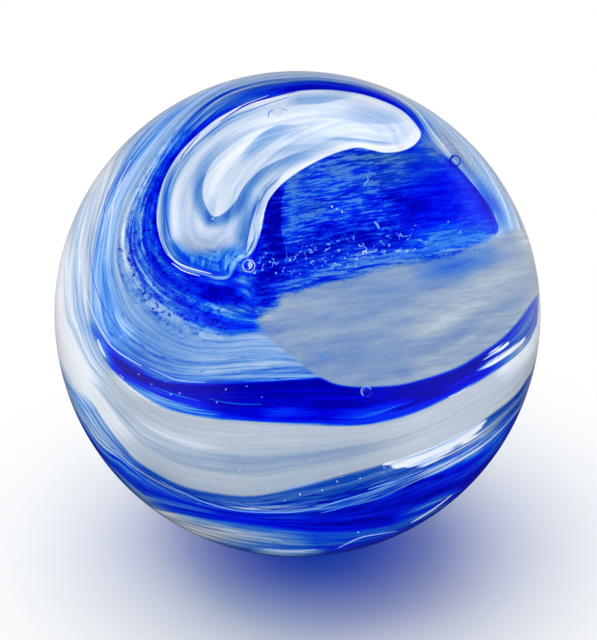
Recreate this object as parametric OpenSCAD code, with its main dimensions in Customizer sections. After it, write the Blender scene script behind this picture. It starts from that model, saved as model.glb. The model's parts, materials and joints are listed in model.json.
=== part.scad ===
// Hand-gathered glass marble: one solid ball of fused glass.
// White and cobalt glass are wound together hot, cased in clear and rolled round,
// so nothing in the ball comes apart and its skin is one unbroken sphere.
// Frame: origin at the centre of the ball, +Z up.

/* [Ball] */
// Diameter of the finished ball
ball_d = 50; // [12:0.5:80]

/* [Hidden] */
$fn = 128;

module marble() {
    color("royalblue")
        sphere(d = ball_d);
}

marble();
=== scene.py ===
import json
import math
import bpy
import numpy as np
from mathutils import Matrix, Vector

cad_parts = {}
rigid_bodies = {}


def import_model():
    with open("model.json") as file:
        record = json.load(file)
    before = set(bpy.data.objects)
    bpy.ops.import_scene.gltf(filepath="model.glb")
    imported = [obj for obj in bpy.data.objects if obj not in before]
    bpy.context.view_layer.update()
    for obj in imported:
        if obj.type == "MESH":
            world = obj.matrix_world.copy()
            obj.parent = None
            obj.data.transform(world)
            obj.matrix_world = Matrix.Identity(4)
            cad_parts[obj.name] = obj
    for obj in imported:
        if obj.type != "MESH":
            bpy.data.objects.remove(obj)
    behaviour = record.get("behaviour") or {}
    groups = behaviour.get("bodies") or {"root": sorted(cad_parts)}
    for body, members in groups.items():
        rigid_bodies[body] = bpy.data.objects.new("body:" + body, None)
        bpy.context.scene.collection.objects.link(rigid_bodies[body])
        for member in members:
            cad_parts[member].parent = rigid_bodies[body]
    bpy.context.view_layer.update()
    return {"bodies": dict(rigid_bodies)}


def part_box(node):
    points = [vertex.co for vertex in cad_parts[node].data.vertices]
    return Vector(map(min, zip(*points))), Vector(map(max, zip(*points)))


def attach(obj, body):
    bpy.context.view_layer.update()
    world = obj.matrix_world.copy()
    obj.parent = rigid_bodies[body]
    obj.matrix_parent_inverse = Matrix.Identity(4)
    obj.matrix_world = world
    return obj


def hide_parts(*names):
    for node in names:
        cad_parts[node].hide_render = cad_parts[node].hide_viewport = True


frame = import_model()
body = next(iter(frame["bodies"]))

# The viewpoint: the marble lies on a pale bench and is looked down on from in front.
# The swirl is drawn in the pixels of this picture, so the camera is set before the glass.
PICTURE_PX = (597, 640)
OUTLINE_CENTRE_PX = (297.5, 314.0)
OUTLINE_RADIUS_PX = 243.0
LOOK_DOWN = math.radians(30)
CAMERA_RADII = 12
SENSOR_MM = 36.0

ball_low, ball_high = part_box("marble")
ball_radius = (ball_high[2] - ball_low[2]) / 2
camera_distance = CAMERA_RADII * ball_radius
focal_px = OUTLINE_RADIUS_PX * math.sqrt(camera_distance ** 2 - ball_radius ** 2) / ball_radius

to_camera = Vector((0, -math.cos(LOOK_DOWN), math.sin(LOOK_DOWN)))
picture_right = Vector((1, 0, 0))
picture_up = to_camera.cross(picture_right)
metres_per_px = camera_distance / focal_px
aim = (picture_right * (PICTURE_PX[0] / 2 - OUTLINE_CENTRE_PX[0])
       + picture_up * (OUTLINE_CENTRE_PX[1] - PICTURE_PX[1] / 2)) * metres_per_px

camera_data = bpy.data.cameras.new("camera")
camera_data.sensor_fit = "VERTICAL"
camera_data.sensor_height = SENSOR_MM
camera_data.lens = focal_px * SENSOR_MM / PICTURE_PX[1]
camera_data.clip_start = ball_radius / 10
camera = bpy.data.objects.new("camera", camera_data)
camera.location = to_camera * camera_distance
camera.rotation_euler = (aim - camera.location).to_track_quat("-Z", "Y").to_euler()
bpy.context.scene.collection.objects.link(camera)
bpy.context.scene.camera = camera

# The swirl: opal white and cobalt glass, gathered hot on one rod, wound round itself and
# twisted at the end, so that the ribbons run in loops round an eye. It is one fused mass.
# The white ribbons stand a little nearer to the skin than the clear cobalt between them.
GLASS_INDEX = 1.4
CORE_SHARE = 0.952
FACES_PER_SIDE = 128

core_radius = CORE_SHARE * ball_radius


class Wire:
    """An output socket in a node tree. Maths on it adds Math nodes, and node() adds any other node."""

    def __init__(self, tree, socket=None):
        self.tree = tree
        self.socket = socket

    def node(self, kind, settings=(), sockets=(), out=0):
        made = self.tree.nodes.new(kind)
        for name, value in dict(settings).items():
            if name == "stops":
                stops = made.color_ramp.elements
                while len(stops) < len(value):
                    stops.new(1.0)
                for stop, (position, colour) in zip(stops, value):
                    stop.position = position
                    stop.color = colour
            else:
                setattr(made, name, value)
        for name, value in dict(sockets).items():
            if isinstance(value, Wire):
                self.tree.links.new(value.socket, made.inputs[name])
            else:
                made.inputs[name].default_value = value
        return Wire(self.tree, made.outputs[out]) if made.outputs else None

    def maths(self, operation, first, second):
        return self.node("ShaderNodeMath", {"operation": operation}, {0: first, 1: second})

    def __add__(self, other):
        return self.maths("ADD", self, other)

    def __radd__(self, other):
        return self.maths("ADD", other, self)

    def __sub__(self, other):
        return self.maths("SUBTRACT", self, other)

    def __rsub__(self, other):
        return self.maths("SUBTRACT", other, self)

    def __mul__(self, other):
        return self.maths("MULTIPLY", self, other)

    def __rmul__(self, other):
        return self.maths("MULTIPLY", other, self)


def tree_input(tree, name, kind, value=None):
    """A named input of a geometry tree, and the identifier that a modifier sets it by."""
    socket = tree.interface.new_socket(name, in_out="INPUT", socket_type=kind)
    if value is not None:
        socket.default_value = value
    return socket.identifier


rolled_ball = bpy.data.node_groups.new("rolled_ball", "GeometryNodeTree")
RADIUS_INPUT = tree_input(rolled_ball, "Radius", "NodeSocketFloat", ball_radius)
GRID_INPUT = tree_input(rolled_ball, "Points per side", "NodeSocketInt", FACES_PER_SIDE + 1)
GLASS_INPUT = tree_input(rolled_ball, "Glass", "NodeSocketMaterial")
rolled_ball.interface.new_socket("Ball", in_out="OUTPUT", socket_type="NodeSocketGeometry")
start = Wire(rolled_ball)
given = rolled_ball.nodes.new("NodeGroupInput")
points_per_side = Wire(rolled_ball, given.outputs["Points per side"])
cube = start.node("GeometryNodeMeshCube", {}, {
    "Size": (math.pi / 2,) * 3,
    "Vertices X": points_per_side, "Vertices Y": points_per_side, "Vertices Z": points_per_side})
place = start.node("GeometryNodeInputPosition")
spread = start.node("ShaderNodeVectorMath", {"operation": "TANGENT"}, {0: place})
outward = start.node("ShaderNodeVectorMath", {"operation": "NORMALIZE"}, {0: spread})
on_ball = start.node("ShaderNodeVectorMath", {"operation": "SCALE"},
                     {0: outward, "Scale": Wire(rolled_ball, given.outputs["Radius"])})
ball = start.node("GeometryNodeSetPosition", {}, {"Geometry": cube, "Position": on_ball})
ball = start.node("GeometryNodeSetShadeSmooth", {}, {0: ball})
ball = start.node("GeometryNodeRealizeInstances", {}, {0: ball})
ball = start.node("GeometryNodeSetMaterial", {},
                  {"Geometry": ball, "Material": Wire(rolled_ball, given.outputs["Glass"])})
start.node("NodeGroupOutput", {}, {"Ball": ball})


def grown(name, tree, inputs, source=None):
    """A plain mesh object with the result of a geometry tree, at the origin."""
    piece = bpy.data.objects.new(name, source or bpy.data.meshes.new(name))
    bpy.context.scene.collection.objects.link(piece)
    modifier = piece.modifiers.new(name, "NODES")
    modifier.node_group = tree
    for identifier, value in inputs.items():
        modifier[identifier] = value
    finished = piece.evaluated_get(bpy.context.evaluated_depsgraph_get())
    mesh = bpy.data.meshes.new_from_object(finished)
    piece.modifiers.clear()
    piece.data = mesh
    mesh.name = name
    return piece


def new_material(name):
    """A material with nothing in its node tree."""
    made = bpy.data.materials.new(name)
    made.use_nodes = True
    made.node_tree.nodes.clear()
    return made


swirl_glass = new_material("swirl_glass")
swirl = grown("swirl", rolled_ball, {
    RADIUS_INPUT: core_radius, GRID_INPUT: FACES_PER_SIDE + 1, GLASS_INPUT: swirl_glass})

# How the clear skin shows the swirl: a ray from a pixel bends at the skin and lands on the
# core at this angle from the point that faces the camera. Past the outline, the drawing
# goes on over the far side and meets behind the ball at twice the outline's radius.
SIGHT_RAYS = 400
reach_px = np.linspace(0, OUTLINE_RADIUS_PX, SIGHT_RAYS)
sight = np.arctan(reach_px / focal_px)
at_skin = np.arcsin(np.clip(camera_distance * np.sin(sight) / ball_radius, 0, 1))
bent = np.arcsin(np.sin(at_skin) / GLASS_INDEX)
at_core = np.arcsin(np.sin(bent) / CORE_SHARE)
core_angle = np.append(at_skin - sight + at_core - bent, math.pi)
reach_px = np.append(reach_px, 2 * OUTLINE_RADIUS_PX)


def onto_core(pixels):
    """Unit vectors to the points of the core that show at these pixels."""
    away = np.asarray(pixels, float) - OUTLINE_CENTRE_PX
    angle = np.interp(np.hypot(away[:, 0], away[:, 1]), reach_px, core_angle)
    turn = np.arctan2(-away[:, 1], away[:, 0])
    return (np.outer(np.cos(angle), to_camera)
            + np.outer(np.sin(angle) * np.cos(turn), picture_right)
            + np.outer(np.sin(angle) * np.sin(turn), picture_up))


def into_picture(directions):
    """The pixels at which these points of the core show."""
    angle = np.arccos(np.clip(directions @ np.array(to_camera), -1, 1))
    turn = np.arctan2(directions @ np.array(picture_up), directions @ np.array(picture_right))
    reach = np.interp(angle, core_angle, reach_px)
    return np.stack([OUTLINE_CENTRE_PX[0] + reach * np.cos(turn),
                     OUTLINE_CENTRE_PX[1] - reach * np.sin(turn)], axis=1)


def drawn(points, closed=True, steps=8):
    """A smooth line through given points."""
    points = np.asarray(points, float)
    if closed:
        points = np.concatenate([points[-1:], points, points[:2]])
    else:
        points = np.concatenate([2 * points[:1] - points[1:2], points, 2 * points[-1:] - points[-2:-1]])
    share = np.linspace(0, 1, steps, endpoint=False)[:, None]
    spans = []
    for before, here, there, after in zip(points, points[1:], points[2:], points[3:]):
        spans.append(0.5 * (2 * here + (there - before) * share
                            + (2 * before - 5 * here + 4 * there - after) * share ** 2
                            + (3 * here - before - 3 * there + after) * share ** 3))
    spans.append(points[-2:-1])
    return np.concatenate(spans)


core_count = len(swirl.data.vertices)
core_points = np.empty(core_count * 3)
swirl.data.vertices.foreach_get("co", core_points)
core_points = core_points.reshape(-1, 3) / core_radius
core_px = into_picture(core_points)


def beside(line):
    """How far each point of the core lies from a line in the picture, in pixels, above 0 to its right.

    The second result is the share of the line that lies before the nearest place on it.
    """
    nearest = np.full(core_count, np.inf)
    passed = np.zeros(core_count)
    for number, (one, two) in enumerate(zip(line, line[1:])):
        span = two - one
        away = core_px - one
        share = np.clip(away @ span / (span @ span), 0, 1)
        distance = np.hypot(away[:, 0] - share * span[0], away[:, 1] - share * span[1])
        side = np.where(span[0] * away[:, 1] > span[1] * away[:, 0], 1, -1)
        closer = distance < np.abs(nearest)
        nearest = np.where(closer, side * distance, nearest)
        passed = np.where(closer, (number + share) / (len(line) - 1), passed)
    return nearest, passed


def depth_inside(outline_px):
    """How far each point of the core lies inside a closed outline, in pixels, and below 0 outside."""
    line = drawn(outline_px)
    inside = np.zeros(core_count, bool)
    for one, two in zip(line, line[1:]):
        level = (one[1] > core_px[:, 1]) != (two[1] > core_px[:, 1])
        if one[1] != two[1]:
            slope = (two[0] - one[0]) / (two[1] - one[1])
            inside ^= level & (core_px[:, 0] < one[0] + (core_px[:, 1] - one[1]) * slope)
    distance = np.abs(beside(line)[0])
    return np.where(inside, distance, -distance)


# The winding: edges of the loops, from the eye outwards. Each is drawn where it shows, from
# the far left round by the bottom to the right, and behind the ball it eases to one angle from the eye.
EYE_PX = (300, 235)
WINDING_EDGES = [
    # inner edge of the cobalt ring, hidden under the eye's own ribbons
    ([(420, 139), (398, 108), (360, 94), (300, 89), (245, 101), (202, 131), (171, 167), (159, 205),
      (162, 240), (182, 268), (215, 282), (242, 290), (262, 306), (290, 325), (325, 345), (360, 352),
      (420, 346), (470, 326), (510, 292), (520, 270), (510, 250), (490, 236), (480, 202), (450, 165)], None),
    # outer edge of the cobalt ring
    ([(432, 136), (412, 108), (375, 87), (335, 78), (300, 76), (255, 81), (215, 95), (184, 121),
      (158, 157), (138, 192), (126, 225), (126, 260), (144, 293), (168, 314), (195, 329), (225, 335),
      (257, 332), (290, 335), (325, 353), (360, 360), (420, 354), (474, 334), (516, 298), (528, 272),
      (518, 250), (497, 236), (485, 202), (455, 165)], None),
    # upper edge of the deep belt
    ([(240, 74), (200, 96), (160, 128), (130, 165), (108, 205), (98, 245), (93, 285), (98, 334),
      (116, 358), (139, 373), (168, 383), (205, 385), (250, 383), (300, 380), (330, 377), (360, 375),
      (420, 366), (474, 344), (518, 306)], 76),
    # lower edge of the deep belt
    ([(110, 163), (97, 205), (88, 245), (86, 285), (89, 315), (95, 340), (106, 362), (132, 387),
      (164, 407), (200, 417), (260, 422), (310, 424), (355, 425), (385, 421), (420, 410), (460, 391),
      (500, 368), (525, 347), (537, 325)], 90),
    # lower edge of the white belt
    ([(57, 350), (66, 370), (76, 385), (92, 403), (106, 425), (122, 446), (140, 464), (180, 486),
      (220, 495), (255, 497), (300, 488), (340, 477), (385, 465), (420, 454), (460, 436), (490, 416),
      (515, 396), (531, 373)], 112),
    # upper edge of the lowest cobalt loop
    ([(67, 392), (95, 440), (120, 460), (150, 482), (180, 497), (220, 509), (260, 513), (300, 511),
      (340, 508), (380, 498), (420, 480), (460, 462), (490, 442), (515, 415), (526, 397)], 120),
    # lower edge of the lowest cobalt loop
    ([(88, 445), (115, 481), (150, 507), (190, 515), (230, 521), (280, 527), (320, 531), (360, 530),
      (400, 523), (440, 507), (472, 487)], 133),
    # edge of the tail, where the glass was pinched off the rod
    ([(60, 470), (130, 545), (220, 570), (300, 578), (400, 560), (500, 490)], 148),
]
# How wide each loop is taken to be for its streaks, and the least angle between two edges.
LOOP_WIDTHS_PX = [60, 35, 45, 40, 70, 20, 22, 40, 60]
LEAST_GAP = math.radians(0.2)
eye = onto_core([EYE_PX])[0]
eye_right = np.cross(np.array(picture_up), eye)
eye_right /= np.linalg.norm(eye_right)
eye_up = np.cross(eye, eye_right)
FULL_TURN = 2 * math.pi
BACK_TURNS = np.radians([30, 60, 90, 120, 150])
BACK_CLEAR = math.radians(22)
BACK_EASE = np.radians([-24, -16, -8, 0, 8, 16, 24])


def polar(directions):
    """Turn round the eye, and angle from it."""
    return (np.arctan2(directions @ eye_up, directions @ eye_right),
            np.arccos(np.clip(directions @ eye, -1, 1)))


def sorted_by_turn(turn, angle):
    """Both lists in the order of the turns."""
    order = np.argsort(turn)
    return turn[order], angle[order]


def loop_angle(front_px, back_degrees, turns):
    """Angle from the eye of one loop's edge at each turn, eased where the loop is out of sight."""
    turn, angle = polar(onto_core(drawn(front_px, closed=back_degrees is None)))
    if back_degrees is None:
        return np.interp(turns, *sorted_by_turn(turn, angle), period=FULL_TURN)
    ends = np.sort(turn % FULL_TURN)
    gaps = np.diff(np.append(ends, ends[0] + FULL_TURN))
    gap_start = ends[np.argmax(gaps)]
    gap = np.max(gaps)
    free = [back for back in BACK_TURNS if BACK_CLEAR < (back - gap_start) % FULL_TURN < gap - BACK_CLEAR]
    turn = np.append(turn, free)
    angle = np.append(angle, [math.radians(back_degrees)] * len(free))
    turn, angle = sorted_by_turn(turn, angle)
    eased = [np.interp(turns + step, turn, angle, period=FULL_TURN) for step in BACK_EASE]
    beyond = (turns - gap_start) % FULL_TURN
    hidden = np.clip(np.minimum(beyond, gap - beyond) / BACK_CLEAR, 0, 1)
    return eased[len(eased) // 2] * (1 - hidden) + np.mean(eased, axis=0) * hidden


def loop_edges(turns):
    """The edges of all loops at each turn, from the eye to the point behind it."""
    edges = [np.zeros_like(turns)]
    for front_px, back_degrees in WINDING_EDGES:
        edges.append(np.maximum(loop_angle(front_px, back_degrees, turns), edges[-1] + LEAST_GAP))
    return edges + [np.full_like(turns, math.pi)]


core_turn, core_from_eye = polar(core_points)
edges = loop_edges(core_turn)
loop = np.zeros(core_count)
strata_px = np.zeros(core_count)
for inner, outer, width_px in zip(edges, edges[1:], LOOP_WIDTHS_PX):
    share = np.clip((core_from_eye - inner) / (outer - inner), 0, 1)
    loop += share
    strata_px += share * width_px

# The ribbons that lie in the eye, and painted light on both sides of the white belt: a painted caustic below
# it, where light gathered through the ball, and painted glints at its right end.
RIBBONS_PX = {
    "comma": [
        (420, 131), (405, 113), (385, 102), (360, 94), (330, 90), (300, 91), (272, 97), (246, 105),
        (222, 116), (202, 131), (184, 149), (171, 167), (163, 185), (159, 203), (158, 222), (161, 240),
        (168, 255), (182, 268), (200, 275), (218, 280), (231, 277), (240, 262), (249, 258), (257, 244),
        (262, 222), (266, 206), (273, 194), (285, 182), (300, 171), (320, 160), (340, 152), (357, 148),
        (370, 150), (384, 153), (398, 152), (410, 148), (418, 141)],
    "pool": [
        (174, 244), (186, 251), (200, 253), (216, 252), (230, 248), (241, 248), (246, 260), (240, 273),
        (226, 275), (208, 272), (191, 266), (179, 257)],
    "wedge": [
        (250, 272), (256, 258), (261, 240), (262, 222), (266, 206), (273, 194), (285, 182), (300, 171),
        (320, 160), (340, 152), (357, 148), (370, 150), (384, 153), (398, 152), (410, 148), (418, 141),
        (430, 146), (445, 156), (459, 168), (473, 184), (485, 200), (493, 214), (498, 232), (475, 245),
        (455, 252), (430, 257), (405, 262), (380, 267), (355, 274), (330, 281), (300, 288), (282, 293),
        (277, 303), (268, 311), (258, 319), (254, 303), (251, 287)],
    "patch": [
        (258, 319), (268, 311), (277, 303), (282, 293), (300, 288), (330, 281), (355, 274), (380, 267),
        (405, 262), (430, 257), (455, 252), (475, 245), (493, 237), (512, 229), (535, 235), (560, 250),
        (565, 275), (540, 293), (527, 309), (515, 325), (500, 340), (480, 354), (460, 366), (440, 374),
        (420, 380), (400, 385), (375, 387), (355, 387), (335, 384), (318, 376), (300, 363), (283, 349),
        (268, 337), (258, 328)],
    "window": [
        (383, 464), (400, 459), (420, 451), (440, 443), (462, 432), (486, 419), (480, 428), (470, 439),
        (457, 446), (446, 454), (433, 462), (418, 467), (400, 467)],
    "glint": [
        (476, 370), (488, 361), (500, 354), (512, 346), (526, 336), (524, 343), (513, 353), (500, 360),
        (488, 366)],
    "small_glint": [(482, 360), (490, 352), (500, 346), (508, 342), (506, 347), (496, 354)],
}
depth = {name: depth_inside(outline_px) for name, outline_px in RIBBONS_PX.items()}

# Folds of the comma: one edge is sharp and the shade fades away to its right. Each has its line,
# how far the shade reaches, and how much darker the glass is at even steps along the line.
FOLDS_PX = {
    "hairpin": (
        [(262, 131), (240, 141), (222, 153), (210, 167), (204, 182), (203, 196), (207, 208), (214, 217),
         (226, 212), (236, 201), (243, 189), (252, 178), (264, 168), (280, 160), (298, 153), (316, 149)],
        13, [0, 0.10, 0.24, 0.34, 0.36, 0.40, 0.40, 0.40, 0.38, 0.34, 0.28, 0]),
    "ridge": ([(236, 164), (247, 148), (258, 137), (268, 130), (282, 125), (306, 126)],
              16, [0, 0.17, 0.26, 0.28, 0.22, 0]),
    "second_ridge": ([(258, 157), (285, 147), (310, 144), (337, 142)], 10, [0, 0.08, 0.06, 0]),
    "tail_line": ([(316, 139), (338, 137.5), (360, 139.5), (385, 142), (404, 140.5)],
                  4.5, [0, 0.18, 0.24, 0.20, 0]),
    "crown": ([(362, 95), (345, 99), (320, 104), (300, 105), (286, 108)], 14, [0, 0.12, 0.18, 0.18, 0]),
    "tail_shade": ([(410, 120), (392, 124), (365, 124), (340, 119)], 18, [0, 0.11, 0.11, 0]),
    "spike": ([(263, 196), (255, 212), (251, 226), (248, 240), (246, 258)], 15, [0, 0.26, 0.40, 0.45, 0.20]),
}

# A deep strip at the narrow end of the wedge is shaded in the same way.
WEDGE_FOLDS_PX = {
    "strip": ([(288, 180), (282, 198), (281, 222), (284, 246), (290, 268)], 20, [0.10, 0.24, 0.26, 0.20, 0]),
}

# Strokes where a thin place or a thick one changes the glass: the line, how wide it is on its left
# and on its right, and how much paler and how much milkier the glass is there.
STROKES_PX = [
    # belly of the comma
    ([(172, 240), (205, 252), (240, 246)], 15, 4, -0.16, 0.5),
    ([(250, 164), (290, 150), (340, 146)], 8, 8, -0.07, 0.2),
    ([(258, 214), (276, 188), (316, 159), (360, 146)], 7, 3, -0.14, 0.1),
    # painted highlights on the upper comma
    ([(205, 210), (222, 168), (262, 130)], 4, 9, 0.10, -0.3),
    ([(250, 124), (320, 110), (360, 104)], 7, 7, 0.08, -0.3),
    ([(300, 131), (350, 129), (395, 134)], 8, 8, 0.08, -0.3),
    ([(180, 180), (176, 215), (186, 240)], 8, 8, 0.06, -0.2),
    # strands along its outer edge
    ([(182, 148), (168, 180), (165, 215), (170, 245), (196, 270)], 5, 5, -0.34, 0.1),
    ([(172, 258), (205, 273), (242, 272)], 5, 5, -0.24, 0.0),
    # cobalt ring: deep at the top, thin at the left
    ([(250, 97), (300, 86), (360, 91), (410, 115)], 4, 4, -0.10, 0.0),
    ([(180, 122), (240, 91), (300, 81), (350, 83)], 5, 4, 0.20, 0.6),
    ([(185, 132), (225, 107), (285, 94)], 6, 6, 0.18, 0.4),
    ([(222, 109), (255, 96), (292, 89)], 4, 4, 0.16, 0.2),
    ([(330, 80), (390, 93), (428, 124)], 5, 4, 0.22, 0.6),
    ([(156, 165), (143, 205), (141, 240), (148, 272)], 11, 11, 0.20, 0.0),
    ([(146, 230), (164, 265), (205, 287)], 5, 5, 0.16, 0.1),
    ([(150, 290), (175, 306), (200, 316)], 9, 9, 0.03, 0.0),
    ([(165, 158), (180, 138), (200, 122)], 8, 8, 0.08, 0.0),
    ([(180, 270), (214, 282), (246, 281)], 3.5, 3.5, 0.26, 0.2),
    ([(150, 174), (165, 154), (186, 135)], 6, 6, 0.14, -0.3),
    ([(205, 305), (238, 309), (275, 316)], 6, 6, 0.30, 0.4),
    ([(236, 250), (244, 280), (252, 312)], 8, 8, 0.32, 0.2),
    ([(130, 190), (123, 240), (134, 282)], 5, 5, 0.16, 0.2),
    ([(412, 132), (430, 147), (450, 160)], 9, 9, 0.34, 0.6),
    # thin and thick places of the cobalt wedge
    ([(262, 190), (380, 182)], 18, 18, 0.28, 0.1),
    ([(290, 217), (410, 209)], 10, 10, 0.18, 0.0),
    ([(270, 231), (312, 229)], 9, 9, 0.20, 0.0),
    ([(255, 266), (345, 246), (420, 234)], 14, 14, -0.05, 0.2),
    ([(282, 192), (302, 173), (330, 158)], 7, 7, 0.20, 0.3),
    ([(296, 182), (291, 215), (294, 252)], 8, 8, 0.20, 0.0),
    ([(422, 158), (450, 180), (480, 218)], 9, 9, 0.12, 0.0),
    ([(286, 269), (330, 258), (376, 249)], 7, 7, 0.12, 0.0),
    ([(320, 156), (385, 158), (440, 157)], 9, 9, 0.22, 0.9),
    ([(322, 168), (352, 174)], 6, 6, 0.22, 0.5),
    ([(420, 165), (440, 180)], 14, 14, 0.06, 0.3),
    ([(380, 198), (490, 206)], 15, 15, 0.10, 0.0),
    ([(400, 243), (455, 232), (515, 219)], 13, 11, 0.32, 0.1),
    ([(430, 249), (478, 239), (520, 226)], 6, 6, 0.20, -0.2),
    ([(250, 295), (350, 269), (400, 259), (500, 239)], 11, 3, 0.40, 0.2),
    ([(350, 184), (390, 178), (430, 171)], 10, 10, 0.18, 0.6),
    ([(380, 199), (408, 204), (434, 207)], 8, 8, -0.16, 0.0),
    ([(256, 304), (272, 277), (304, 262)], 9, 9, -0.14, 0.0),
    ([(294, 212), (334, 206)], 7, 6, 0.20, 0.4),
    # ripple side of the wedge
    ([(430, 120), (456, 148), (482, 182)], 13, 13, 0.0, 0.5),
    ([(446, 142), (478, 178), (498, 207), (512, 240)], 5, 7, -0.13, 0.0),
    ([(474, 182), (499, 212), (512, 246)], 6, 8, -0.20, -0.3),
    ([(432, 152), (462, 180), (486, 214)], 8, 5, 0.12, 0.1),
    ([(485, 155), (515, 205), (535, 262)], 8, 8, 0.16, 0.7),
    # clouds of the milky patch
    ([(262, 322), (300, 330), (345, 340)], 14, 14, 0.05, 0.0),
    ([(300, 352), (335, 361), (378, 362)], 13, 13, -0.06, 0.0),
    ([(392, 342), (440, 324), (500, 290)], 6, 6, 0.08, 0.1),
    ([(400, 366), (450, 350), (512, 308)], 5, 5, 0.10, 0.1),
    ([(350, 387), (400, 381), (450, 366), (490, 340), (525, 304)], 8, 7, 0.11, 0.0),
    ([(410, 324), (470, 298), (545, 258)], 18, 18, 0.16, 0.0),
    ([(258, 312), (300, 297), (345, 286)], 9, 9, 0.04, 0.0),
    ([(490, 250), (520, 238), (555, 262)], 10, 10, 0.16, 0.2),
    ([(408, 277), (455, 266), (508, 246)], 10, 10, -0.18, -0.4),
    # thin places of the deep belt
    ([(112, 370), (152, 396), (222, 415)], 7, 6, 0.46, 0.1),
    ([(258, 416), (320, 403)], 6, 6, 0.14, 0.0),
    ([(330, 421), (372, 414), (415, 402)], 6, 6, 0.24, 0.1),
    ([(100, 333), (113, 353), (128, 367), (152, 381)], 3.5, 5, -0.30, -0.2),
    # the light loops and the white belt
    ([(120, 335), (150, 355), (200, 370)], 12, 12, -0.10, 0.0),
    ([(104, 256), (108, 290), (122, 320)], 5, 5, -0.16, 0.0),
    ([(122, 314), (150, 333), (195, 350)], 8, 8, -0.10, 0.0),
    ([(95, 180), (80, 225), (78, 265)], 6, 6, -0.08, 0.0),
    ([(88, 320), (94, 332), (100, 343)], 4.5, 4.5, -0.24, -0.3),
    ([(60, 330), (82, 376), (102, 402), (130, 428), (230, 462)], 14, 14, 0.24, -0.3),
    ([(94, 195), (83, 255), (92, 315)], 9, 9, 0.17, 0.2),
    ([(128, 140), (106, 185), (96, 235)], 8, 8, 0.20, 0.1),
    # paler at the left rim: partly paler glass, partly a painted reflection of the pale room
    ([(54, 344), (72, 390), (92, 420), (118, 452), (145, 476)], 11, 11, 0.26, -0.7),
    ([(62, 225), (57, 290), (60, 350)], 9, 12, 0.22, -0.3),
    # the lowest loops and the tail
    ([(420, 480), (465, 458), (515, 418)], 10, 10, 0.26, -0.3),
    ([(435, 467), (460, 449), (492, 427)], 6, 6, 0.14, -0.2),
    ([(490, 372), (523, 338), (550, 285)], 12, 12, 0.50, 0.9),
    ([(70, 420), (115, 478), (170, 518), (260, 536)], 9, 9, 0.26, 0.3),
    ([(255, 512), (300, 514), (345, 508)], 5, 5, 0.12, 0.3),
    ([(100, 474), (170, 521), (230, 535), (315, 543)], 9, 9, 0.50, 0.8),
    ([(390, 522), (425, 509), (465, 486)], 6, 6, 0.26, 0.2),
    ([(145, 494), (180, 507), (220, 514)], 5, 5, 0.14, 0.2),
    ([(395, 502), (440, 485), (495, 448)], 9, 9, -0.08, 0.0),
    # painted highlight along the bottom edge
    ([(250, 550), (290, 552), (330, 550)], 2.5, 4, 0.50, -0.2),
]
# Strokes along which fine pale worms, or with a minus sign dark ones, lie in the glass.
SCRIBBLES_PX = [
    ([(262, 266), (320, 254), (410, 236)], 15, 1.0),
    ([(124, 250), (140, 290), (165, 312), (225, 328)], 7, -1.0),
]
STROKE_TAPER = 0.8
stroke = np.zeros((core_count, 3))
for line_px, left_width, right_width, paler, milkier in STROKES_PX:
    aside, passed = beside(drawn(line_px, closed=False))
    fade = np.exp(-(aside / np.where(aside > 0, right_width, left_width)) ** 2)
    taper = np.sin(math.pi * passed) ** STROKE_TAPER
    stroke += np.outer(fade * taper, (paler, milkier, 0))
for line_px, half_width, weight in SCRIBBLES_PX:
    stroke[:, 2] += weight * np.exp(-(beside(drawn(line_px, closed=False))[0] / half_width) ** 2)


def keep_on_core(name, values):
    """Stores one number, or one vector, for each point of the core."""
    kind, field = ("FLOAT", "value") if values.ndim == 1 else ("FLOAT_VECTOR", "vector")
    swirl.data.attributes.new(name, kind, "POINT").data.foreach_set(field, values.ravel().astype(np.float32))


for name, depth_px in depth.items():
    keep_on_core(name, depth_px)
keep_on_core("loop", loop)
keep_on_core("flow", np.stack([np.cos(core_turn), np.sin(core_turn), strata_px], axis=1))
keep_on_core("picture", np.column_stack([core_px, np.zeros(core_count)]))
keep_on_core("stroke", stroke)
for name, (line_px, _, darker) in (FOLDS_PX | WEDGE_FOLDS_PX).items():
    aside, passed = beside(drawn(line_px, closed=False))
    shade = np.interp(passed, np.linspace(0, 1, len(darker)), darker)
    keep_on_core(name, np.column_stack([aside, shade, np.zeros(core_count)]))

# The opal ribbons stand out a little from the clear cobalt.
OPAL_RISE = 0.0001
EDGE_ROUND_PX = 5.0
rise = sum(np.clip(depth[name] / EDGE_ROUND_PX + 0.5, 0, 1) for name in ("comma", "patch"))
white_belt = np.clip((loop - 4) * LOOP_WIDTHS_PX[4] / EDGE_ROUND_PX + 0.5, 0, 1)
white_belt *= np.clip((5 - loop) * LOOP_WIDTHS_PX[4] / EDGE_ROUND_PX + 0.5, 0, 1)
rise = OPAL_RISE * np.clip(rise + white_belt, 0, 1)
swirl.data.vertices.foreach_set("co", (core_points * (core_radius + rise)[:, None]).ravel())
swirl.data.update()


def tint(red, green, blue):
    """A glass colour, from the 0 to 255 scale of a colour chart."""
    shares = [c / 255 for c in (red, green, blue)]
    return tuple(s / 12.92 if s <= 0.04045 else ((s + 0.055) / 1.055) ** 2.4 for s in shares) + (1.0,)


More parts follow.
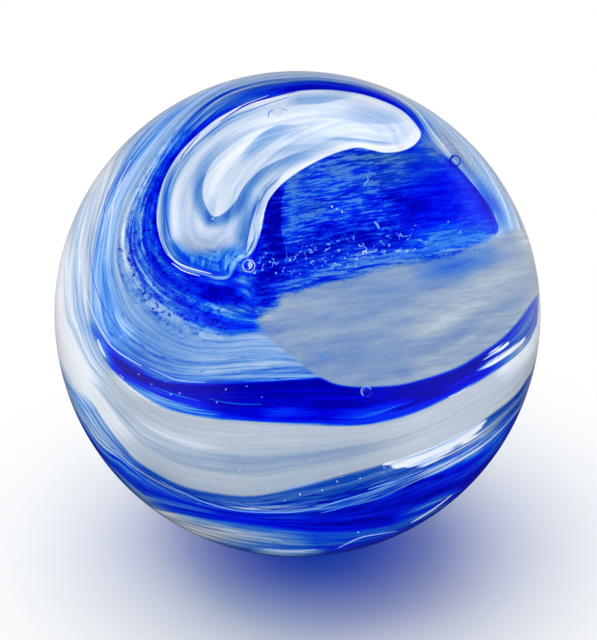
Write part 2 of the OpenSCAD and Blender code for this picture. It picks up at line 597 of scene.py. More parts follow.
# Two colour scales from the deepest cobalt to white, one of clear glass and one of milky glass.
CLEAR_SCALE = [
    (0.00, tint(0, 0, 158)), (0.15, tint(0, 4, 222)), (0.30, tint(2, 42, 238)), (0.42, tint(8, 98, 224)),
    (0.55, tint(80, 156, 233)), (0.68, tint(138, 190, 247)), (0.80, tint(184, 214, 250)),
    (0.90, tint(220, 234, 252)), (1.00, tint(247, 251, 255))]
MILKY_SCALE = [
    (0.00, tint(0, 0, 158)), (0.15, tint(8, 44, 176)), (0.30, tint(16, 78, 178)), (0.45, tint(72, 116, 190)),
    (0.55, tint(110, 140, 187)), (0.68, tint(150, 169, 191)), (0.80, tint(183, 193, 203)),
    (0.90, tint(206, 215, 226)), (1.00, tint(236, 241, 247))]

glass = Wire(swirl_glass.node_tree)


def kept(wire, name, out="Fac"):
    """What was stored for each point of a mesh under a name."""
    return wire.node("ShaderNodeAttribute", {"attribute_name": name}, out=out)


def parts(vector):
    """The three numbers of a vector or colour."""
    return [vector.node("ShaderNodeSeparateXYZ", {}, {0: vector}, out=axis) for axis in range(3)]


def soft(value, low, high):
    """0 up to low, 1 from high on and a smooth rise between."""
    return value.node("ShaderNodeMapRange", {"interpolation_type": "SMOOTHSTEP"},
                      {"Value": value, "From Min": low, "From Max": high})


def blend(share, first, second):
    """Two colours mixed by a share of the second."""
    return share.node("ShaderNodeMix", {"data_type": "RGBA"}, {0: share, 6: first, 7: second}, out=2)


def laid(share, under, over):
    """One number laid over another by a share."""
    return under + share * (over - under)


def scale_of(value, stops, last=1.0):
    """Colours, or sets of three numbers, at places along a value."""
    stops = [(place / last, tuple(three[:3]) + (1.0,)) for place, three in stops]
    return value.node("ShaderNodeValToRGB", {"stops": stops}, {0: value * (1 / last)})


def streaks(vector, sizes_px, detail=3.0, roughness=0.55, tilt=0.0):
    """Noise about 0, drawn out along a vector's axes to these sizes."""
    turned = vector.node("ShaderNodeMapping", {"vector_type": "TEXTURE"}, {
        "Vector": vector, "Rotation": (0.0, 0.0, math.radians(tilt)), "Scale": sizes_px})
    return vector.node("ShaderNodeTexNoise", {}, {
        "Vector": turned, "Scale": 1.0, "Detail": detail, "Roughness": roughness}) - 0.5


def fine_lines(noise, width):
    """Thin lines where noise passes through 0."""
    return 1.0 - soft(noise.maths("ABSOLUTE", noise, 0.0), 0.0, width)


def distance_from(vector, place):
    """How far a vector lies from a place."""
    return vector.node("ShaderNodeVectorMath", {"operation": "DISTANCE"}, {0: vector, 1: place}, out="Value")


def folded(pale, folds_px):
    """Paleness darkened along folds."""
    for name, (_, fade_px, _) in folds_px.items():
        aside, shade, _ = parts(kept(pale, name, "Vector"))
        fading = 1.0 - soft(aside, 0.3 * fade_px, 1.2 * fade_px)
        pale = pale - shade * soft(aside, -0.8, 0.8) * fading
    return pale


# Along the winding: place in it, then paleness, milkiness and how streaky the glass is.
LAST_LOOP = len(LOOP_WIDTHS_PX)
LOW_SIDE = [
    (1.40, (0.08, 0.0, 0.3)), (1.47, (0.36, 0.0, 0.4)), (1.68, (0.40, 0.0, 0.4)),
    (1.74, (0.20, 0.1, 0.4)), (1.82, (0.24, 0.1, 0.4)), (1.90, (0.38, 0.0, 0.4)), (2.03, (0.62, 0.5, 0.4)),
    (2.40, (0.64, 0.5, 0.4)), (2.55, (0.61, 0.5, 0.6)), (2.72, (0.55, 0.5, 0.9)), (2.95, (0.46, 0.4, 0.8)),
    (3.01, (0.00, 0.0, 0.2)), (3.70, (0.04, 0.0, 0.5)), (3.94, (0.16, 0.0, 0.5)),
    (3.985, (0.45, 0.2, 0.1)), (4.01, (0.79, 1.0, 0.1)), (4.36, (0.78, 1.0, 0.2)), (4.44, (0.64, 1.0, 0.2)),
    (4.60, (0.64, 1.0, 0.2)), (4.70, (0.78, 1.0, 0.1)), (4.96, (0.74, 1.0, 0.1)), (5.01, (0.30, 1.0, 0.4)),
    (5.50, (0.37, 1.0, 1.2)), (5.80, (0.46, 0.6, 1.9)), (5.96, (0.45, 0.4, 1.7)), (6.06, (0.23, 0.3, 0.9)),
    (6.75, (0.10, 0.0, 0.5)), (6.95, (0.16, 0.0, 0.4)), (7.04, (0.34, 0.1, 0.4)), (7.80, (0.36, 0.1, 0.6)),
    (8.20, (0.30, 0.0, 0.6)), (8.60, (0.75, 0.5, 0.4))]
HIGH_SIDE = [
    (1.00, (0.12, 0.0, 0.2)), (1.35, (0.22, 0.1, 0.5)), (1.60, (0.32, 0.2, 0.8)), (1.84, (0.46, 0.2, 1.0)),
    (2.00, (0.59, 0.3, 0.7)), (2.20, (0.66, 0.5, 0.5)), (2.44, (0.67, 0.3, 0.5)), (2.60, (0.78, 0.0, 0.7)),
    (2.72, (0.67, 0.0, 1.0)), (2.90, (0.58, 0.0, 1.0)), (3.05, (0.55, 0.1, 1.0)), (3.30, (0.61, 0.3, 0.8)),
    (3.70, (0.65, 0.6, 0.7)), (4.00, (0.76, 0.6, 0.7)), (4.20, (0.90, 0.2, 0.6)), (4.32, (0.76, 0.5, 0.7)),
    (4.50, (1.00, 0.0, 0.4)), (4.92, (0.98, 0.0, 0.5)), (5.10, (0.70, 0.1, 0.8)), (5.50, (0.46, 0.0, 1.0)),
    (6.00, (0.24, 0.0, 0.8)), (6.60, (0.12, 0.0, 0.5)), (7.00, (0.40, 0.0, 0.8)), (7.40, (0.70, 0.2, 0.8)),
    (7.80, (0.50, 0.0, 1.0)), (8.20, (0.20, 0.0, 0.8)), (8.60, (0.80, 0.3, 0.4))]
LOW_TURN = math.radians(-70)
WEST_TURN = math.radians(160)
# How pale each other kind of glass and the painted light are before their streaks, and the palest that the
# wedge gets.
BELT_PALE = 0.85
WEDGE_PALE = 0.11
WEDGE_PALEST = 0.48
PATCH_PALE = 0.60
COMMA_PALE = 0.885
POOL_PALE = 0.47
PAINTED_LIGHT_PALE = 0.94

flow = kept(glass, "flow", "Vector")
east, north, _ = parts(flow)


def facing(turn):
    """1 where the winding lies at a turn from the eye, and -1 where it lies opposite."""
    return east * math.cos(turn) + north * math.sin(turn)


broad = streaks(flow, (1.1, 1.1, 16.0), detail=2.0)
fine = streaks(flow, (0.65, 0.65, 4.5), detail=3.0, roughness=0.6)
hair = streaks(flow, (0.4, 0.4, 1.9), detail=2.0)
dark_lines = fine_lines(streaks(flow, (0.9, 0.9, 5.0), detail=2.0), 0.016)
pale_lines = fine_lines(streaks(flow, (0.8, 0.8, 7.0), detail=2.0), 0.014)
wound = kept(glass, "loop")
tight = wound + broad * 0.10 + fine * 0.06
loose = wound + broad * 0.4 + fine * 0.2
low_side = soft(facing(LOW_TURN), 0.02, 0.22)
winding_glass = blend(low_side, scale_of(loose, HIGH_SIDE, LAST_LOOP), scale_of(tight, LOW_SIDE, LAST_LOOP))
paleness, milkiness, streaky = parts(winding_glass)
paleness = paleness + streaky * (fine * 1.1 + hair * 0.7 - dark_lines * 0.26 + pale_lines * 0.10)

# The white belt is even at the right, and fades into the winding behind the ball.
picture = kept(glass, "picture", "Vector")
picture_x, _, _ = parts(picture)
from_middle = distance_from(picture, OUTLINE_CENTRE_PX + (0.0,))
even_belt = soft(tight, 4.0, 4.06) * (1.0 - soft(tight, 4.90, 4.97))
even_belt = even_belt * soft(picture_x, 340.0, 430.0) * (1.0 - soft(from_middle, 245.0, 400.0))
paleness = laid(even_belt, paleness, BELT_PALE + broad * 0.16 + fine * 0.14)
milkiness = laid(even_belt, milkiness, 1.0)

# The cobalt ring is mottled on its left, with dark specks.
mottle = streaks(flow, (0.10, 0.10, 7.0), detail=4.0, roughness=0.75)
specks = soft(streaks(flow, (0.035, 0.035, 3.5), detail=2.0, roughness=0.7), 0.06, 0.16)
in_ring = soft(wound, 0.98, 1.05) * (1.0 - soft(wound, 2.0, 2.3)) * (1.0 - soft(east, -0.8, -0.5))
paleness = paleness + in_ring * (mottle * 0.9 - specks * 0.22)

# The wedge is brushed crosswise, and calm and clear at the right.
brush = streaks(picture, (38.0, 4.5, 20.0), detail=4.0, roughness=0.65, tilt=-7)
dabs = streaks(picture, (16.0, 2.8, 20.0), detail=3.0, roughness=0.7, tilt=-11)
grain = streaks(picture, (2.6, 2.6, 2.6), detail=2.0)
wedge_depth = kept(glass, "wedge")
in_wedge = soft(wedge_depth, -1.0, 1.0)
lively = 1.0 - 0.7 * soft(picture_x, 375.0, 430.0)
clear_end = soft(picture_x, 385.0, 430.0)
brushed = soft(brush * 0.8 + dabs, -0.04, 0.16) * 0.16 + brush * 0.55 + dabs * 0.55
paleness = laid(in_wedge, paleness, lively * brushed + WEDGE_PALE - 0.03 * clear_end)
milkiness = laid(in_wedge, milkiness, 0.2 - 0.2 * clear_end)

# The milky patch is cloudy, and frayed where it meets the wedge.
cloud = streaks(picture, (70.0, 18.0, 20.0), detail=4.0, tilt=-14)
by_wedge = soft(wedge_depth, -40.0, -12.0)
ragged = kept(glass, "patch") + by_wedge * (brush * 13.0 + dabs * 7.0 + grain * 5.0)
in_patch = soft(ragged * (1.0 - by_wedge * 0.68), -2.0, 2.0)
paleness = laid(in_patch, paleness, cloud * 0.38 + brush * 0.14 + dabs * 0.07 + PATCH_PALE)
milkiness = laid(in_patch, milkiness, 1.0)

# The comma has strands along its edge, folds, and a pool of thin glass at its round end.
comma_depth = kept(glass, "comma")
along_comma = glass.node("ShaderNodeCombineXYZ", {}, {"X": east, "Y": north, "Z": comma_depth})
strand = streaks(along_comma, (0.9, 0.9, 3.2), detail=3.0, roughness=0.6)
west = soft(facing(WEST_TURN), 0.45, 0.75)
by_edge = west * soft(comma_depth, 1.5, 4.0) * (1.0 - soft(comma_depth, 7.0, 14.0))
wide_strand = streaks(along_comma, (1.2, 1.2, 9.0), detail=2.0)
comma_pale = COMMA_PALE + fine * 0.16 + wide_strand * 0.4 + strand * 0.22
comma_pale = comma_pale - by_edge * soft(strand, -0.04, 0.10) * 0.4
comma_pale = folded(comma_pale, FOLDS_PX)
upright = streaks(picture, (5.0, 18.0, 20.0), detail=2.0, roughness=0.5, tilt=10)
in_pool = soft(kept(glass, "pool") + strand * 4.0 + upright * 9.0, -8.0, 6.0)
comma_pale = laid(in_pool, comma_pale, POOL_PALE + upright * 0.8 + strand * 0.7)
in_comma = soft(comma_depth + west * strand * 9.0, -0.8, 0.8)
paleness = laid(in_comma, paleness, comma_pale)
milkiness = laid(in_comma, milkiness, 0.32 + 0.5 * (0.95 - comma_pale) - in_pool * 0.55)

# Painted light: the painted caustic and the painted glints, laid on as pale clear streaks.
for name in ("window", "glint", "small_glint"):
    painted_light_place = soft(kept(glass, name) + hair * 8.0 + fine * 6.0, -1.0, 1.0)
    paleness = laid(painted_light_place, paleness, PAINTED_LIGHT_PALE + fine * 1.5 + hair * 0.9)
    milkiness = laid(painted_light_place, milkiness, 0.0)

# Ripples round a bubble beside the wedge.
RIPPLE_MIDDLE_PX = (455.0, 161.0, 0.0)
RIPPLE_GAP_PX = 4.8
ripple_way = distance_from(picture, RIPPLE_MIDDLE_PX)
by_ripples = (1.0 - soft(ripple_way, 60.0, 90.0)) * (1.0 - soft(from_middle, 236.0, 252.0))
by_ripples = by_ripples * soft(picture_x, 425.0, 440.0) * (1.0 - soft(wedge_depth, -9.0, -3.0))
ripple_way = ripple_way + streaks(picture, (16.0, 16.0, 16.0), detail=1.0) * 14.0
ripples = glass.maths("SINE", ripple_way * (FULL_TURN / RIPPLE_GAP_PX), 0.0)
paleness = paleness + by_ripples * (ripples * 0.08 + 0.06 - soft(ripples, 0.3, 0.95) * 0.12)

# The strokes, streaked along the glass that they lie in, and the worms.
stroke_paler, stroke_milkier, scribbled = parts(kept(glass, "stroke", "Vector"))
brushed_share = glass.maths("MAXIMUM", in_wedge, in_patch)
streaked = 1.0 + laid(brushed_share, fine * 2.0 + hair * 1.2, brush * 1.2 + dabs * 1.2)
worms = fine_lines(streaks(picture, (12.0, 12.0, 12.0), detail=2.0, roughness=0.6), 0.03)
worms = worms * soft(streaks(picture, (9.0, 9.0, 9.0), detail=1.0), -0.04, 0.06)
paleness = paleness + stroke_paler * streaked + grain * 0.07
bare_wedge = in_wedge * (1.0 - in_patch) * (1.0 - in_comma)
wedge_pale = folded(glass.maths("MINIMUM", paleness, WEDGE_PALEST), WEDGE_FOLDS_PX)
paleness = laid(bare_wedge, paleness, wedge_pale) + scribbled * worms * 0.6
milkiness = milkiness + stroke_milkier
colour = blend(milkiness, scale_of(paleness, CLEAR_SCALE), scale_of(paleness, MILKY_SCALE))

SHADOW_TINT = tint(16, 114, 152)
DULL = 0.6


def let_lamps_through(wire, seen, shade):
    """Ends a material: lamps shine through it in a shade, and every other ray meets what is seen."""
    through = wire.node("ShaderNodeBsdfTransparent", {}, {"Color": shade})
    lamp_ray = wire.node("ShaderNodeLightPath", out="Is Shadow Ray")
    surface = wire.node("ShaderNodeMixShader", {}, {0: lamp_ray, 1: seen, 2: through})
    wire.node("ShaderNodeOutputMaterial", {}, {"Surface": surface})


def finish_glass(wire, colour, shade):
    """Ends the material of coloured glass. The skin over it carries the gloss."""
    solid = wire.node("ShaderNodeBsdfPrincipled", {}, {
        "Base Color": colour, "Roughness": DULL, "Specular IOR Level": 0.0})
    let_lamps_through(wire, solid, shade)


finish_glass(glass, colour, SHADOW_TINT)
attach(swirl, body)

# The threads: ends of the white and cobalt rods that were drawn out fine as the glass was wound.
# They lie on the swirl, under the clear skin, and thin away at both ends.
# Each has its line, its width and how pale it is. Some stand for painted light instead: highlights, glints
# and outlines of bubbles, each marked where it stands.
THREADS_PX = [
    # left loops
    ([(131, 160), (122, 178), (116, 195), (113, 210), (111, 225), (109, 240), (108, 252)], 1.8, 1.0),
    ([(110, 184), (106, 200), (104, 215), (102, 230)], 0.9, 0.44),
    ([(89, 243), (91, 262), (94, 280), (99, 296), (106, 310), (116, 326), (128, 343)], 1.0, 0.36),
    ([(85, 203), (79, 222), (76, 240), (75, 260), (75, 280), (78, 300), (83, 318)], 0.9, 0.68),
    ([(86, 292), (92, 310), (100, 328), (111, 343)], 1.5, 0.95),
    # edge of the comma
    ([(296, 92), (270, 98), (250, 104), (234, 113), (220, 123)], 2.0, 0.10),
    ([(290, 97), (275, 102), (260, 107), (246, 113)], 1.3, 0.46),
    ([(200, 134), (192, 144), (184, 154), (180, 162)], 1.2, 0.03),
    ([(178, 163), (172, 175), (168, 190), (166.5, 205), (167, 220), (170, 235), (176, 248)], 1.7, 0.44),
    ([(268, 96), (240, 107), (218, 121), (200, 138), (186, 153)], 1.4, 1.0),
    ([(168, 254), (178, 263), (193, 269), (212, 274)], 1.5, 0.95),
    ([(172, 263), (184, 271), (200, 276)], 1.2, 0.90),
    # ink strokes and pale curls of the wedge
    ([(296, 203), (312, 199), (328, 201), (342, 196), (356, 189)], 1.2, 0.08),
    ([(423, 146), (442, 157), (457, 170), (472, 188), (484, 206), (491, 222), (495, 236)], 1.0, 0.0),
    ([(374, 222), (377, 225), (379, 229)], 2.2, 0.62),
    ([(366, 176), (368, 180), (365, 184), (364, 187)], 1.5, 0.58),
    ([(317, 352), (322, 357), (328, 360)], 1.1, 0.50),
    # light loops
    ([(101, 331), (108, 342), (119, 352), (130, 359), (142, 366)], 1.5, 0.84),
    # painted highlight on the deep belt's left tip
    ([(98, 339), (101, 347), (106, 357)], 3.2, 1.0),
    ([(150, 368), (162, 373.5), (175, 379), (190, 381.5), (206, 382)], 0.9, 0.80),
    # deep belt
    ([(208, 398), (225, 402), (245, 404), (262, 404)], 1.2, 0.40),
    ([(150, 386), (175, 394), (200, 401)], 1.3, 0.44),
    ([(362, 416), (380, 412), (396, 406)], 1.4, 0.44),
    ([(448, 397), (458, 393), (466, 388)], 1.2, 0.95),
    ([(470, 386), (484, 377), (497, 367)], 1.6, 0.42),
    # lowest loops
    ([(160, 480), (180, 491), (200, 500), (220, 507), (245, 511), (275, 512), (300, 511), (322, 506),
      (345, 499), (372, 491), (400, 479), (422, 470)], 1.5, 0.64),
    ([(238, 504), (258, 506), (280, 505)], 1.2, 0.58),
    ([(285, 489), (300, 485), (322, 479)], 1.4, 0.68),
    ([(368, 489), (384, 484), (398, 480)], 1.8, 0.62),
    ([(320, 513), (345, 506), (365, 498)], 1.2, 0.54),
    ([(178, 487), (205, 500), (230, 507), (250, 510)], 1.4, 0.02),
    ([(240, 502), (262, 508), (298, 508), (320, 503), (345, 497), (375, 485), (402, 474), (420, 468)],
     1.4, 0.02),
    ([(325, 500), (350, 490), (375, 478), (398, 470)], 1.2, 0.05),
    ([(360, 503), (385, 493), (410, 482), (440, 468), (462, 455)], 1.3, 0.02),
    ([(425, 466), (445, 458), (462, 449), (480, 438)], 1.3, 0.02),
    ([(440, 464), (455, 455), (472, 444)], 1.2, 0.35),
    ([(425, 470), (442, 463), (458, 455)], 1.5, 0.60),
    ([(462, 451), (476, 442), (489, 432)], 1.3, 0.52),
    # tail, with a painted glint at the lower right rim and a painted highlight along the bottom
    ([(338, 548), (350, 542), (362, 537), (378, 534), (397, 531)], 3.2, 0.76),
    ([(411, 522.6), (419, 518), (426, 513.7), (438, 505.5), (452, 494.6)], 5.5, 1.0),
    ([(264, 549), (280, 551), (300, 551), (316, 549)], 2.6, 0.92),
    # painted dark outline over the largest bubble
    ([(268, 118), (270, 112), (278, 108.5), (288, 111)], 1.2, 0.40),
]
# Painted outlines of the other large bubbles, the bright ones a painted reflection at the bubble's wall and
# the dark ones a painted dark edge: middle, radius, width and how pale.
# Each runs a little past one turn, because its ends are fine.
PAINTED_BUBBLE_RINGS_PX = [
    (249, 266, 6.0, 1.1, 0.80), (249, 266, 4.2, 1.4, 0.05), (455, 161, 5.0, 2.2, 0.04),
    (366, 391, 4.8, 1.3, 0.62)]
RING_TURNS = np.linspace(0, 2.4 * math.pi, 14)
for x, y, radius_px, width_px, tone in PAINTED_BUBBLE_RINGS_PX:
    ring_px = np.stack([x + radius_px * np.cos(RING_TURNS), y + radius_px * np.sin(RING_TURNS)], axis=1)
    THREADS_PX.append((ring_px, width_px, tone))
# Fine seeds of opal on the swirl: where, how wide and how pale. Three, from 332 to 342 across, are painted
# glints, and the pale dots in the middles of two bubble rings are painted light of those bubbles.
SEEDS_PX = [
    (123, 377, 1.4, 0.7), (139, 374, 1.0, 0.8), (152, 384, 1.1, 0.6), (171, 394, 1.5, 0.8),
    (180, 393, 1.3, 0.8), (217, 402, 1.2, 0.7), (226, 389, 1.4, 0.7), (247, 386, 1.0, 0.6),
    (262, 397, 1.0, 0.6), (240, 470, 2.0, 0.95), (300, 494, 1.9, 0.95), (337, 481, 1.7, 0.95),
    (341, 473, 1.6, 0.95), (383, 464, 2.0, 1.0), (360, 478, 1.2, 0.9), (322, 490, 1.2, 0.9),
    (285, 500, 1.2, 0.8), (268, 489, 1.2, 0.9), (350, 320, 2.0, 0.60), (372, 318, 2.2, 0.60),
    (390, 318, 2.2, 0.60), (437, 245, 2.4, 0.62), (460, 232, 2.6, 0.66), (448, 222, 1.8, 0.6),
    (276, 273, 1.8, 0.7), (284, 268, 1.6, 0.6), (270, 262, 1.6, 0.7), (300, 274, 1.6, 0.6),
    (322, 266, 1.6, 0.6), (345, 258, 1.8, 0.7), (366, 250, 1.6, 0.6), (389, 246, 1.8, 0.6),
    (402, 252, 1.6, 0.6), (358, 532, 2.4, 0.8), (455, 160.5, 4.5, 0.78), (249, 265, 2.6, 0.8),
    (332, 207, 2.2, 0.9), (336.5, 209, 1.6, 0.8), (342, 212, 2.0, 0.9), (213, 219, 1.6, 1.0),
    (219, 216, 1.2, 0.9),
]
SEED_LENGTH_PX = 1.6
THREADS_PX += [([(x - SEED_LENGTH_PX / 2, y), (x + SEED_LENGTH_PX / 2, y)], width, tone)
               for x, y, width, tone in SEEDS_PX]
THREAD_SIDES = 8
THREAD_ENDS = (0.04, 0.96)
px_length = ball_radius / OUTLINE_RADIUS_PX
thread_places, thread_edges, thread_widths, thread_tones = [], [], [], []
for line_px, width_px, tone in THREADS_PX:
    line = drawn(line_px, closed=False, steps=6)
    first = len(thread_places)
    thread_edges += [(first + n, first + n + 1) for n in range(len(line) - 1)]
    thread_places += list(onto_core(line) * (core_radius + OPAL_RISE))
    taper = np.sqrt(np.sin(np.linspace(*THREAD_ENDS, len(line)) * math.pi))
    thread_widths += list(width_px / 2 * px_length * taper)
    thread_tones += [tone] * len(line)
thread_mesh = bpy.data.meshes.new("threads")
thread_mesh.from_pydata(thread_places, thread_edges, [])
for name, values in (("half_width", thread_widths), ("tone", thread_tones)):
    thread_mesh.attributes.new(name, "FLOAT", "POINT").data.foreach_set("value", values)

drawn_thread = bpy.data.node_groups.new("drawn_thread", "GeometryNodeTree")
drawn_thread.interface.new_socket("Lines", in_out="INPUT", socket_type="NodeSocketGeometry")
SIDES_INPUT = tree_input(drawn_thread, "Sides", "NodeSocketInt", THREAD_SIDES)
THREAD_GLASS_INPUT = tree_input(drawn_thread, "Glass", "NodeSocketMaterial")
drawn_thread.interface.new_socket("Threads", in_out="OUTPUT", socket_type="NodeSocketGeometry")
pull = Wire(drawn_thread)
given = drawn_thread.nodes.new("NodeGroupInput")
curve = pull.node("GeometryNodeMeshToCurve", {}, {0: Wire(drawn_thread, given.outputs["Lines"])})
half_width = pull.node("GeometryNodeInputNamedAttribute", {"data_type": "FLOAT"}, {"Name": "half_width"})
section = pull.node("GeometryNodeCurvePrimitiveCircle", {}, {
    "Resolution": Wire(drawn_thread, given.outputs["Sides"]), "Radius": 1.0})
thread = pull.node("GeometryNodeCurveToMesh", {}, {
    "Curve": curve, "Profile Curve": section, "Scale": half_width, "Fill Caps": True})
thread = pull.node("GeometryNodeSetShadeSmooth", {}, {0: thread})
thread = pull.node("GeometryNodeRealizeInstances", {}, {0: thread})
thread = pull.node("GeometryNodeSetMaterial", {}, {
    "Geometry": thread, "Material": Wire(drawn_thread, given.outputs["Glass"])})
pull.node("NodeGroupOutput", {}, {"Threads": thread})

thread_glass = new_material("thread_glass")
rod = Wire(thread_glass.node_tree)
WHITE = (1.0, 1.0, 1.0, 1.0)
finish_glass(rod, scale_of(kept(rod, "tone"), CLEAR_SCALE), WHITE)
threads = grown("threads", drawn_thread, {
    SIDES_INPUT: THREAD_SIDES, THREAD_GLASS_INPUT: thread_glass}, source=thread_mesh)
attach(threads, body)

# The casing: a skin of clear glass that was gathered over the swirl and rolled round.
# It is a little over a millimetre thick and carries the polish.


def see_through(name, index):
    """Polished clear glass that lets the lamps through."""
    made = new_material(name)
    clear = Wire(made.node_tree)
    polished = clear.node("ShaderNodeBsdfPrincipled", {}, {
        "Base Color": WHITE, "Roughness": 0.0, "IOR": index, "Transmission Weight": 1.0})
    let_lamps_through(clear, polished, WHITE)
    return made


casing = grown("casing", rolled_ball, {
    RADIUS_INPUT: ball_radius, GRID_INPUT: FACES_PER_SIDE + 1,
    GLASS_INPUT: see_through("clear_glass", GLASS_INDEX)})
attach(casing, body)
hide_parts("marble")

# The bubbles: air caught in the clear skin as it was gathered, the largest about a millimetre
# across, with a scatter of fine seeds.
BUBBLES_PX = [
    (249, 266, 9), (455, 161, 8), (366, 391, 9), (278, 114, 11), (459, 217, 5), (350, 320, 2.5),
    (372, 318, 2.5), (390, 318, 2.5), (300, 494, 3), (337, 481, 2.5), (341, 473, 2.5), (383, 464, 3),
    (200, 404, 2.5), (226, 390, 2.5), (240, 470, 4), (123, 375, 2.5), (168, 379, 3), (437, 245, 4),
    (460, 232, 4), (358, 532, 4)]
SEED_COUNT = 70
SEED_RADIUS = (0.00004, 0.00011)
AIR_INDEX = 1.33
BUBBLE_ROUNDNESS = 3
DEPTH_IN_SKIN = 0.55
skin_thickness = ball_radius - core_radius
draw = np.random.default_rng(11)
seed_ways = draw.normal(size=(SEED_COUNT, 3))
seed_ways /= np.linalg.norm(seed_ways, axis=1)[:, None]
bubble_ways = np.concatenate([onto_core([(x, y) for x, y, _ in BUBBLES_PX]), seed_ways])
bubble_radii = np.append([width / 2 * px_length for _, _, width in BUBBLES_PX],
                         draw.uniform(*SEED_RADIUS, SEED_COUNT))
bubble_mesh = bpy.data.meshes.new("bubbles")
bubble_mesh.from_pydata(bubble_ways * (core_radius + DEPTH_IN_SKIN * skin_thickness), [], [])
bubble_sizes = bubble_mesh.attributes.new("size", "FLOAT", "POINT")
bubble_sizes.data.foreach_set("value", bubble_radii.astype(np.float32))

caught_air = bpy.data.node_groups.new("caught_air", "GeometryNodeTree")
caught_air.interface.new_socket("Places", in_out="INPUT", socket_type="NodeSocketGeometry")
ROUND_INPUT = tree_input(caught_air, "Roundness", "NodeSocketInt", BUBBLE_ROUNDNESS)
AIR_INPUT = tree_input(caught_air, "Air", "NodeSocketMaterial")
caught_air.interface.new_socket("Bubbles", in_out="OUTPUT", socket_type="NodeSocketGeometry")
air = Wire(caught_air)
given = caught_air.nodes.new("NodeGroupInput")
size = air.node("GeometryNodeInputNamedAttribute", {"data_type": "FLOAT"}, {"Name": "size"})
bubble = air.node("GeometryNodeMeshIcoSphere", {}, {
    "Radius": 1.0, "Subdivisions": Wire(caught_air, given.outputs["Roundness"])})
bubbles = air.node("GeometryNodeInstanceOnPoints", {}, {
    "Points": Wire(caught_air, given.outputs["Places"]), "Instance": bubble, "Scale": size})
bubbles = air.node("GeometryNodeRealizeInstances", {}, {0: bubbles})
bubbles = air.node("GeometryNodeSetShadeSmooth", {}, {0: bubbles})
bubbles = air.node("GeometryNodeSetMaterial", {}, {
    "Geometry": bubbles, "Material": Wire(caught_air, given.outputs["Air"])})
air.node("NodeGroupOutput", {}, {"Bubbles": bubbles})
bubble_piece = grown("bubbles", caught_air, {
    ROUND_INPUT: BUBBLE_ROUNDNESS, AIR_INPUT: see_through("bubble_air", AIR_INDEX)}, source=bubble_mesh)
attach(bubble_piece, body)

# The bench and the light: a plain pale top under the ball, a broad soft lamp above and behind it,
# two at the sides and a low one that light only the coloured glass, and a room that is brighter behind
# the ball than in front of it. Close to the ball the bench takes the lamps' shade, and its colour holds a
# painted blue shadow.
BENCH_HALF = 60 * ball_radius
SHADE_MIDDLE = (0.12, -0.15)
SHADE_REACH = (0.14, 1.90)
PAINTED_SHADOW_MIDDLE = (0.02, -0.36)
PAINTED_SHADOW_REACH = (0.05, 0.62)
PAINTED_SHADOW_COLOUR = (0.30, 0.60, 0.88, 1.0)
PALE_BENCH = (0.84, 0.92, 0.95, 1.0)
bench_mesh = bpy.data.meshes.new("bench")
corners = [(-1, -1), (1, -1), (1, 1), (-1, 1)]
bench_mesh.from_pydata([(x * BENCH_HALF, y * BENCH_HALF, ball_low[2]) for x, y in corners], [], [range(4)])
bench = bpy.data.objects.new("bench", bench_mesh)
bpy.context.scene.collection.objects.link(bench)
bench_paint = new_material("bench_paint")
bench_mesh.materials.append(bench_paint)
paint = Wire(bench_paint.node_tree)
lit = paint.node("ShaderNodeEmission", {}, {"Color": WHITE, "Strength": 1.0})
bench_place = paint.node("ShaderNodeTexCoord", out="Object")


def radii_from(middle):
    """How far each place on the bench lies from a middle, in radii of the ball."""
    place = (middle[0] * ball_radius, middle[1] * ball_radius, ball_low[2])
    return distance_from(bench_place, place) * (1 / ball_radius)


open_bench = soft(radii_from(SHADE_MIDDLE), *SHADE_REACH)
# The bench's colour holds a painted blue shadow round where the ball rests.
bench_colour_with_painted_shadow = blend(soft(radii_from(PAINTED_SHADOW_MIDDLE), *PAINTED_SHADOW_REACH), PAINTED_SHADOW_COLOUR, PALE_BENCH)
matt = paint.node("ShaderNodeBsdfDiffuse", {}, {"Color": bench_colour_with_painted_shadow})

MIRRORED_LEFT = 0.60
MIRRORED_RIGHT = 0.30
MIRRORED_BENCH = 0.42
MIRRORED_REST = 0.012


def mirrored_light(way):
    """How bright the surroundings look in the polish: pale at the sides and on the bench behind."""
    side, behind, upward = parts(way)
    near_horizon = 1.0 - soft(upward * upward, 0.0, 0.2)
    low_behind = (1.0 - soft(upward, -0.08, 0.12)) * soft(upward, -0.68, -0.46) * soft(behind, 0.2, 0.8)
    sides = MIRRORED_RIGHT * soft(side, 0.3, 0.95) + MIRRORED_LEFT * soft(side * -1.0, 0.3, 0.95)
    return MIRRORED_REST + near_horizon * sides + MIRRORED_BENCH * low_behind


bench_way = paint.node("ShaderNodeVectorMath", {"operation": "NORMALIZE"}, {0: bench_place})
mirrored_bench = paint.node("ShaderNodeEmission", {}, {
    "Color": WHITE, "Strength": mirrored_light(bench_way)})
seen_plain = (paint.node("ShaderNodeLightPath", out="Is Camera Ray")
              + paint.node("ShaderNodeLightPath", out="Is Transmission Ray"))
seen_mirrored = paint.node("ShaderNodeLightPath", out="Is Glossy Ray")
surface = paint.node("ShaderNodeMixShader", {}, {0: open_bench * seen_plain, 1: matt, 2: lit})
surface = paint.node("ShaderNodeMixShader", {}, {0: seen_mirrored, 1: surface, 2: mirrored_bench})
paint.node("ShaderNodeOutputMaterial", {}, {"Surface": surface})


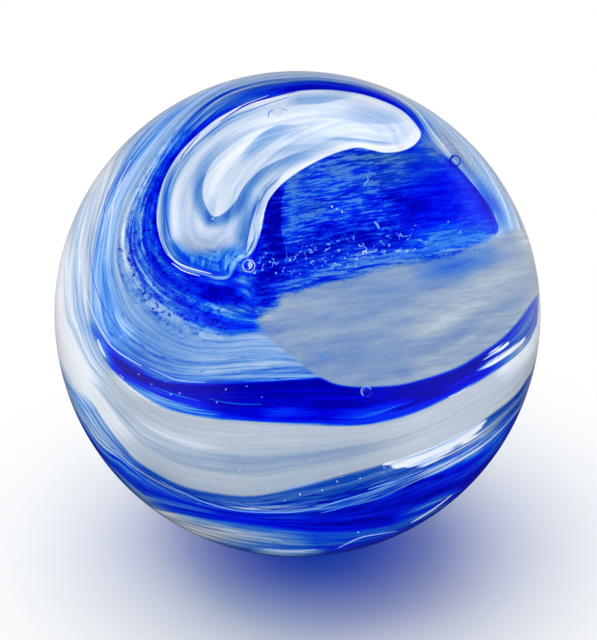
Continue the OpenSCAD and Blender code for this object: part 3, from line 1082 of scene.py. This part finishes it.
def softbox(name, place, size, watts, only=()):
    """A square lamp that faces the ball and isn't mirrored in it. It may light only some pieces."""
    data = bpy.data.lights.new(name, "AREA")
    data.size = size
    data.energy = watts
    lamp = bpy.data.objects.new(name, data)
    lamp.location = place
    lamp.rotation_euler = (-lamp.location).to_track_quat("-Z", "Y").to_euler()
    lamp.visible_glossy = False
    if only:
        lit_pieces = bpy.data.collections.new(name)
        for piece in only:
            lit_pieces.objects.link(piece)
        lamp.light_linking.receiver_collection = lit_pieces
        lamp.light_linking.blocker_collection = lit_pieces
    bpy.context.scene.collection.objects.link(lamp)


glass_pieces = [swirl, threads]
softbox("key", (-0.06, 0.16, 0.45), 0.60, 2.5)
softbox("left_fill", (-0.50, -0.42, 0.08), 0.30, 2.5, only=glass_pieces)
softbox("right_fill", (0.50, -0.42, 0.06), 0.30, 3.3, only=glass_pieces)
softbox("bench_glow", (0.10, -0.30, -0.30), 0.30, 1.1, only=glass_pieces)

room = bpy.data.worlds.new("room")
room.use_nodes = True
room.node_tree.nodes.clear()
air_light = Wire(room.node_tree)
room_way = air_light.node("ShaderNodeTexCoord", out="Generated")
side, behind, _ = parts(room_way)
ROOM_REST = 0.06
ROOM_BEHIND = 0.42
ROOM_SIDES = 0.17
DAYLIGHT = (0.96, 0.97, 1.0, 1.0)
around = ROOM_REST + ROOM_BEHIND * soft(behind, -0.6, 0.6) + ROOM_SIDES * soft(side * side, 0.2, 0.9)
ambient = air_light.node("ShaderNodeBackground", {}, {"Color": DAYLIGHT, "Strength": around})
mirror = air_light.node("ShaderNodeBackground", {}, {"Color": WHITE, "Strength": mirrored_light(room_way)})
white = air_light.node("ShaderNodeBackground", {}, {"Color": WHITE, "Strength": 1.0})
glossy = air_light.node("ShaderNodeLightPath", out="Is Glossy Ray")
seen = air_light.node("ShaderNodeLightPath", out="Is Camera Ray")
surface = air_light.node("ShaderNodeMixShader", {}, {0: glossy, 1: ambient, 2: mirror})
surface = air_light.node("ShaderNodeMixShader", {}, {0: seen, 1: surface, 2: white})
air_light.node("ShaderNodeOutputWorld", {}, {"Surface": surface})
bpy.context.scene.world = room
bpy.context.scene.view_settings.view_transform = "Standard"
